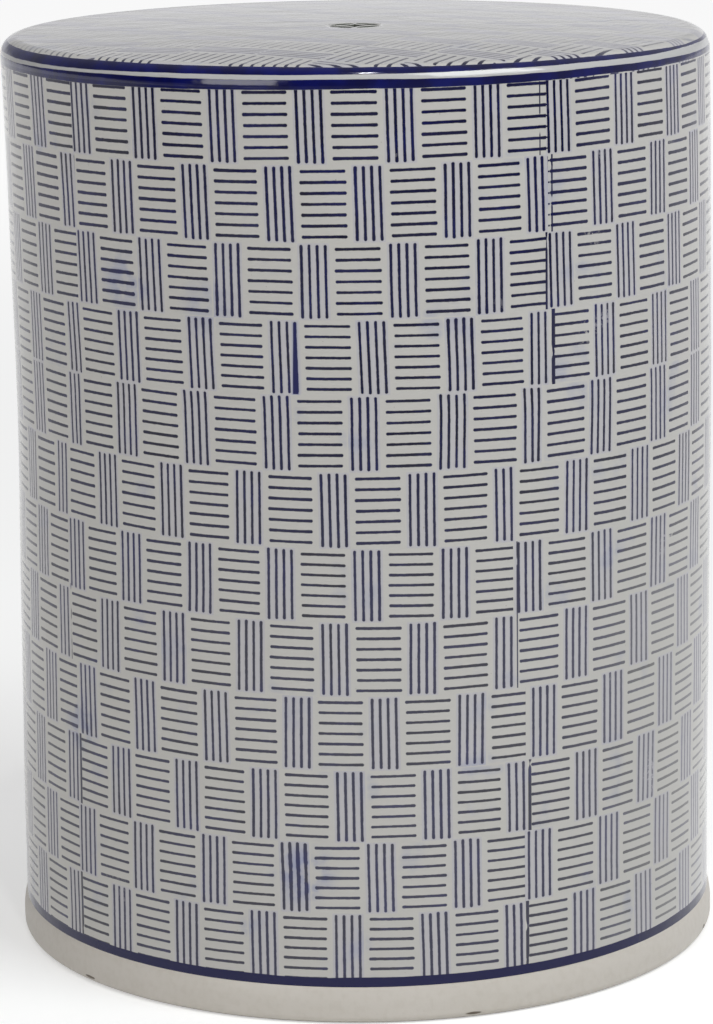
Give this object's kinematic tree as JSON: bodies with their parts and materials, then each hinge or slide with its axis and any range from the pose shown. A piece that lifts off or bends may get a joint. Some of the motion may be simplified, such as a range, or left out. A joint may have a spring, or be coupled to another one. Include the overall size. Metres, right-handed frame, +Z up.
{
  "type": "garden stool",
  "caption": "Round drum-shaped glazed ceramic garden stool with basket-weave pattern, cobalt bands, satin foot ring and a pierced coin in the seat.",
  "frame": {"origin": "centre of the foot ring's flat underside, on the floor", "axes": "+Z up along the axis of the barrel, -Y the side that the picture shows, +X to its right"},
  "size_m": [0.3548, 0.3548, 0.457],
  "materials": {
    "seat_glaze": "gloss clear glaze over an off-white body, with a printed navy basket weave and a cobalt band round the rim",
    "barrel_glaze": "gloss clear glaze over an off-white body, with a printed navy basket weave and cobalt bands at top and bottom",
    "foot_clay": "plain off-white, satin, without print",
    "inner_clay": "bare clay, matt"
  },
  "bodies": {
    "root": {"seat_slab": "seat_glaze", "upper_barrel": "barrel_glaze", "lower_barrel": "barrel_glaze", "foot_ring": "foot_clay", "seat_coil": "inner_clay", "waist_coil": "inner_clay", "foot_coil": "inner_clay"}
  },
  "joints": []
}
